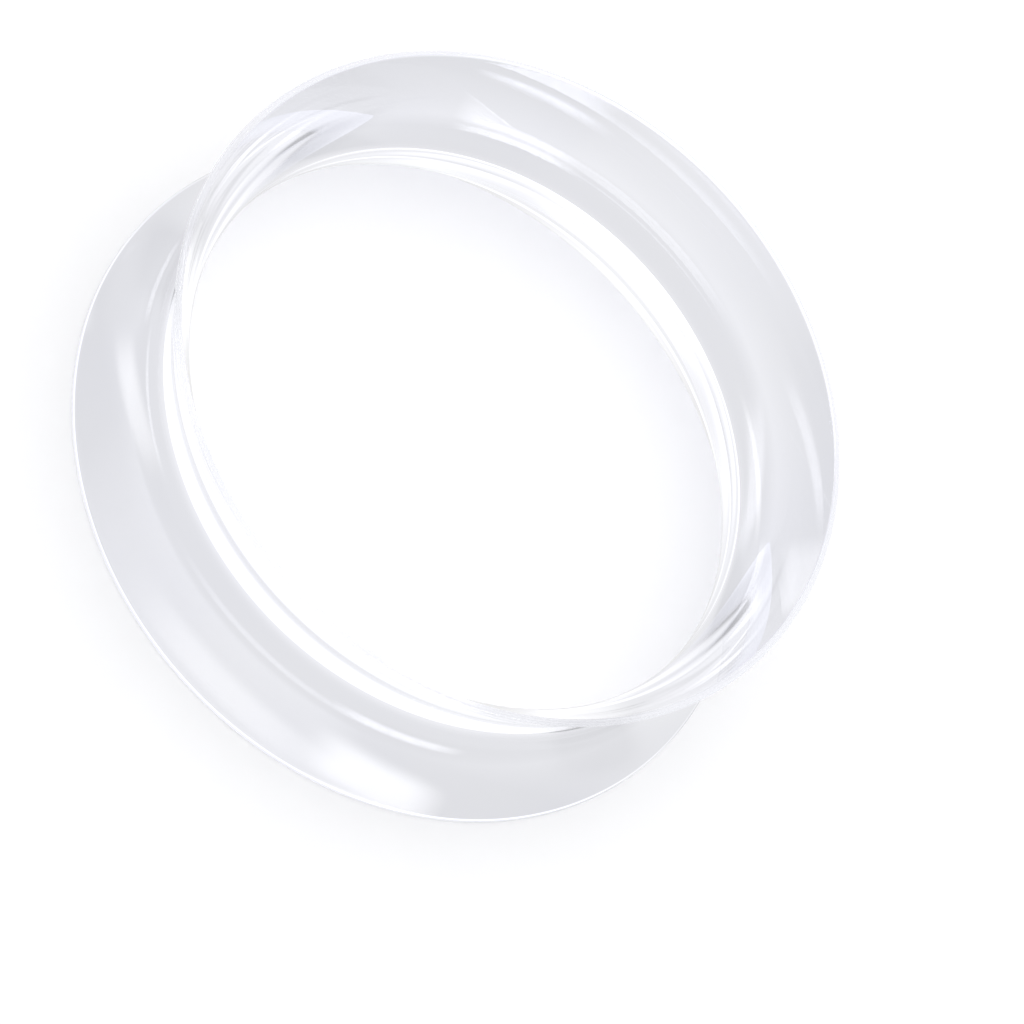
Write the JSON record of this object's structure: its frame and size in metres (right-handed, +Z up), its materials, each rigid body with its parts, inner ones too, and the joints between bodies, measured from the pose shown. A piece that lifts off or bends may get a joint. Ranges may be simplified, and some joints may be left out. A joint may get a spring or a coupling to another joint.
{
  "type": "ear tunnel",
  "caption": "Clear silicone ear tunnel: a thin open hoop with a waist for the stretched lobe and a flare at each rim.",
  "frame": {"origin": "on the hoop's axis, at the level of the surface that its lower rim rests on", "axes": "+Z up along the hoop's axis, from the lower rim to the upper one; X and Y are any two level directions, because the hoop is round"},
  "size_m": [0.0432, 0.0432, 0.014],
  "materials": {
    "clear_silicone": "clear, smooth and glossy, very slightly milky"
  },
  "bodies": {
    "root": {"tunnel": "clear_silicone"}
  },
  "joints": []
}
